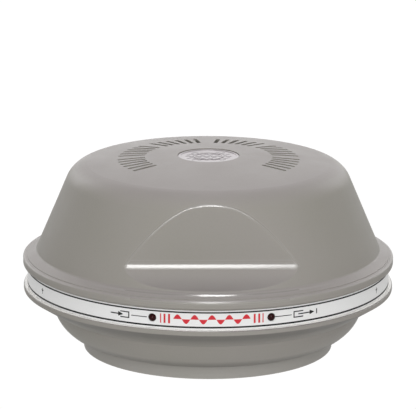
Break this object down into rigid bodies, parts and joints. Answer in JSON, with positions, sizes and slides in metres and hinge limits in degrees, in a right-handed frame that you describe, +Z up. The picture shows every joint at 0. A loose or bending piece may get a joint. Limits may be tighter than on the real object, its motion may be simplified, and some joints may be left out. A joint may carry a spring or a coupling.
{
  "type": "voltage stabiliser",
  "caption": "Domed grey table-top mains voltage stabiliser with vented crown, printed indicator band, rear outlet, rocker switch, fuse and mains cord.",
  "frame": {"origin": "on the supporting surface, under the centre of the round foot", "axes": "+Z up; the front with the finger scoop and lamps faces -Y; +X to the right seen from the front"},
  "size_m": [0.25, 0.323, 0.1311],
  "materials": {
    "case_plastic": "satin gloss moulded ABS, warm grey",
    "band_print": "printed silver-white film with a black rule near each edge",
    "badge_silver": "light silver with a bright rim",
    "lamp_red": "dark red diffused LED epoxy",
    "black_plastic": "matt black",
    "rocker_red": "gloss red",
    "white_nylon": "natural nylon",
    "zinc_steel": "zinc plated",
    "core_steel": "varnished silicon steel laminations",
    "winding_copper": "enamelled copper wire",
    "tape_yellow": "polyester insulation tape",
    "board_green": "solder resist over glass-epoxy board",
    "relay_blue": "gloss blue relay case",
    "contact_brass": "bright brass",
    "capacitor_sleeve": "dark blue shrink sleeve",
    "ceramic_tan": "tan lacquer",
    "clear_glass": "clear",
    "cord_rubber": "black PVC sheath",
    "wire_pvc": "PVC insulation",
    "trimmer_blue": "blue"
  },
  "bodies": {
    "case": {"base_shell": "case_plastic", "top_cover": "case_plastic", "top_badge": "badge_silver", "label_band": "band_print", "indicator_lamps": "lamp_red", "lamp_holders": "black_plastic", "lamp_leads": "zinc_steel", "cover_screws": "zinc_steel", "transformer_core": "core_steel", "transformer_bobbin": "white_nylon", "primary_winding": "winding_copper", "secondary_winding": "winding_copper", "winding_tape": "tape_yellow", "transformer_strap": "zinc_steel", "strap_screws": "zinc_steel", "control_board": "board_green", "board_screws": "zinc_steel", "relay_bases": "black_plastic", "relay_coils": "winding_copper", "relay_yokes": "core_steel", "relay_cases": "relay_blue", "filter_capacitors": "capacitor_sleeve", "controller_chip": "black_plastic", "trimmer_bodies": "trimmer_blue", "rectifier_diodes": "black_plastic", "board_resistors": "ceramic_tan", "terminal_block": "trimmer_blue", "terminal_screws": "zinc_steel", "output_socket": "black_plastic", "socket_contacts": "contact_brass", "switch_body": "black_plastic", "switch_terminals": "contact_brass", "fuse_holder": "black_plastic", "fuse_nut": "black_plastic", "cord_grommet": "cord_rubber", "mains_cord": "cord_rubber", "plug_body": "cord_rubber", "plug_pins": "contact_brass", "supply_wires": "wire_pvc", "transformer_leads": "wire_pvc", "lamp_wires": "wire_pvc"},
    "rocker": {"switch_rocker": "rocker_red"},
    "fuse_carrier": {"fuse_glass": "clear_glass", "fuse_end_caps": "zinc_steel"},
    "fuse_knob": {"fuse_cap": "black_plastic"},
    "trimmer_a": {"trimmer_screw_1": "contact_brass"},
    "trimmer_b": {"trimmer_screw_2": "contact_brass"},
    "armature_a": {"relay_armature_1": "core_steel"},
    "armature_b": {"relay_armature_2": "core_steel"},
    "armature_c": {"relay_armature_3": "core_steel"}
  },
  "joints": [
    {"name": "rocker_tilt", "type": "hinge", "parent": "case", "child": "rocker", "pos_m": [-0.0335, 0.0925, 0.089], "axis": [1, 0, 0], "range_deg": [-18, 0]},
    {"name": "fuse_pull", "type": "slide", "parent": "case", "child": "fuse_carrier", "axis": [0, 1, 0], "range_m": [0, 0.04]},
    {"name": "fuse_cap_turn", "type": "hinge", "parent": "fuse_carrier", "child": "fuse_knob", "pos_m": [0.035, 0.095, 0.088], "axis": [0, 1, 0], "range_deg": [0, 90]},
    {"name": "trimmer_turn_1", "type": "hinge", "parent": "case", "child": "trimmer_a", "pos_m": [-0.032, -0.0495, 0.02], "axis": [0, 0, 1], "range_deg": [-135, 135]},
    {"name": "trimmer_turn_2", "type": "hinge", "parent": "case", "child": "trimmer_b", "pos_m": [-0.02, -0.0495, 0.02], "axis": [0, 0, 1], "range_deg": [-135, 135]},
    {"name": "relay_pull_1", "type": "hinge", "parent": "case", "child": "armature_a", "pos_m": [-0.019, -0.034, 0.02775], "axis": [0, 1, 0], "range_deg": [-3.5, 0]},
    {"name": "relay_pull_2", "type": "hinge", "parent": "case", "child": "armature_b", "pos_m": [0.003, -0.034, 0.02775], "axis": [0, 1, 0], "range_deg": [-3.5, 0]},
    {"name": "relay_pull_3", "type": "hinge", "parent": "case", "child": "armature_c", "pos_m": [0.025, -0.034, 0.02775], "axis": [0, 1, 0], "range_deg": [-3.5, 0]}
  ]
}
